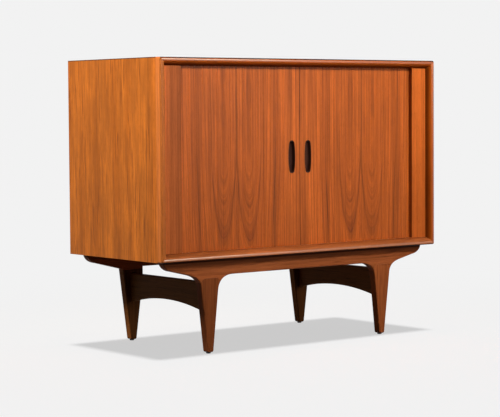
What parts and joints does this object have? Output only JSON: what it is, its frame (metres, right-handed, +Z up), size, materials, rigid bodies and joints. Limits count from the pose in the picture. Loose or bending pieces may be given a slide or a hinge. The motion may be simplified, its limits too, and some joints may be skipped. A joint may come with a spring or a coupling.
{
  "type": "tambour door cabinet",
  "caption": "Low wooden cabinet with slatted tambour doors that slide into its sides, recessed finger pulls, a mitred front lipping and a sled base with tapered legs and arched stretchers.",
  "frame": {"origin": "on the floor under the middle of the case's width and depth", "axes": "+X to the right seen from the front, +Y from the front to the back, +Z up"},
  "size_m": [0.98, 0.44, 0.79],
  "materials": {
    "case_wood": "satin oiled teak veneer, golden orange, grain upright on the sides",
    "lipping_wood": "satin lacquered solid teak",
    "stile_wood": "satin teak",
    "door_wood": "satin teak, cathedral grain, upright",
    "base_wood": "satin dark teak",
    "inside_wood": "pale satin veneer",
    "pull_wood": "dark stained satin hardwood",
    "canvas": "plain woven canvas",
    "glide": "matte",
    "pin_brass": "satin",
    "screw_steel": "zinc plated",
    "tenon_wood": "raw beech"
  },
  "bodies": {
    "cabinet": {"case_top": "case_wood", "case_bottom": "case_wood", "case_side_left": "case_wood", "case_side_right": "case_wood", "back_panel": "inside_wood", "back_screw_1": "screw_steel", "back_screw_2": "screw_steel", "back_screw_3": "screw_steel", "back_screw_4": "screw_steel", "back_screw_5": "screw_steel", "back_screw_6": "screw_steel", "front_edge_bottom": "lipping_wood", "front_edge_top": "lipping_wood", "front_edge_left": "lipping_wood", "front_edge_right": "lipping_wood", "fixed_stile_left": "stile_wood", "fixed_stile_right": "stile_wood", "centre_partition": "inside_wood", "pocket_liner_left": "inside_wood", "pocket_liner_right": "inside_wood", "shelf_left": "inside_wood", "shelf_right": "inside_wood", "shelf_pin_left_1": "pin_brass", "shelf_pin_left_2": "pin_brass", "shelf_pin_left_3": "pin_brass", "shelf_pin_left_4": "pin_brass", "shelf_pin_right_1": "pin_brass", "shelf_pin_right_2": "pin_brass", "shelf_pin_right_3": "pin_brass", "shelf_pin_right_4": "pin_brass", "front_rail": "base_wood", "rear_rail": "base_wood", "front_left_leg": "base_wood", "front_right_leg": "base_wood", "rear_left_leg": "base_wood", "rear_right_leg": "base_wood", "front_left_leg_tenon": "tenon_wood", "front_right_leg_tenon": "tenon_wood", "rear_left_leg_tenon": "tenon_wood", "rear_right_leg_tenon": "tenon_wood", "front_left_glide": "glide", "front_right_glide": "glide", "rear_left_glide": "glide", "rear_right_glide": "glide", "front_rail_screw_1": "screw_steel", "front_rail_screw_2": "screw_steel", "front_rail_screw_3": "screw_steel", "rear_rail_screw_1": "screw_steel", "rear_rail_screw_2": "screw_steel", "rear_rail_screw_3": "screw_steel", "left_stretcher": "base_wood", "right_stretcher": "base_wood"},
    "left_door": {"left_meeting_stile": "door_wood", "left_finger_pull": "pull_wood", "left_tambour": "door_wood", "left_canvas": "canvas"},
    "right_door": {"right_meeting_stile": "door_wood", "right_finger_pull": "pull_wood", "right_tambour": "door_wood", "right_canvas": "canvas"}
  },
  "joints": [
    {"name": "left_door_slide", "type": "slide", "parent": "cabinet", "child": "left_door", "axis": [-1, 0, 0], "range_m": [0, 0.355], "deforming": ["left_tambour", "left_canvas"]},
    {"name": "right_door_slide", "type": "slide", "parent": "cabinet", "child": "right_door", "axis": [1, 0, 0], "range_m": [0, 0.355], "deforming": ["right_tambour", "right_canvas"]}
  ]
}
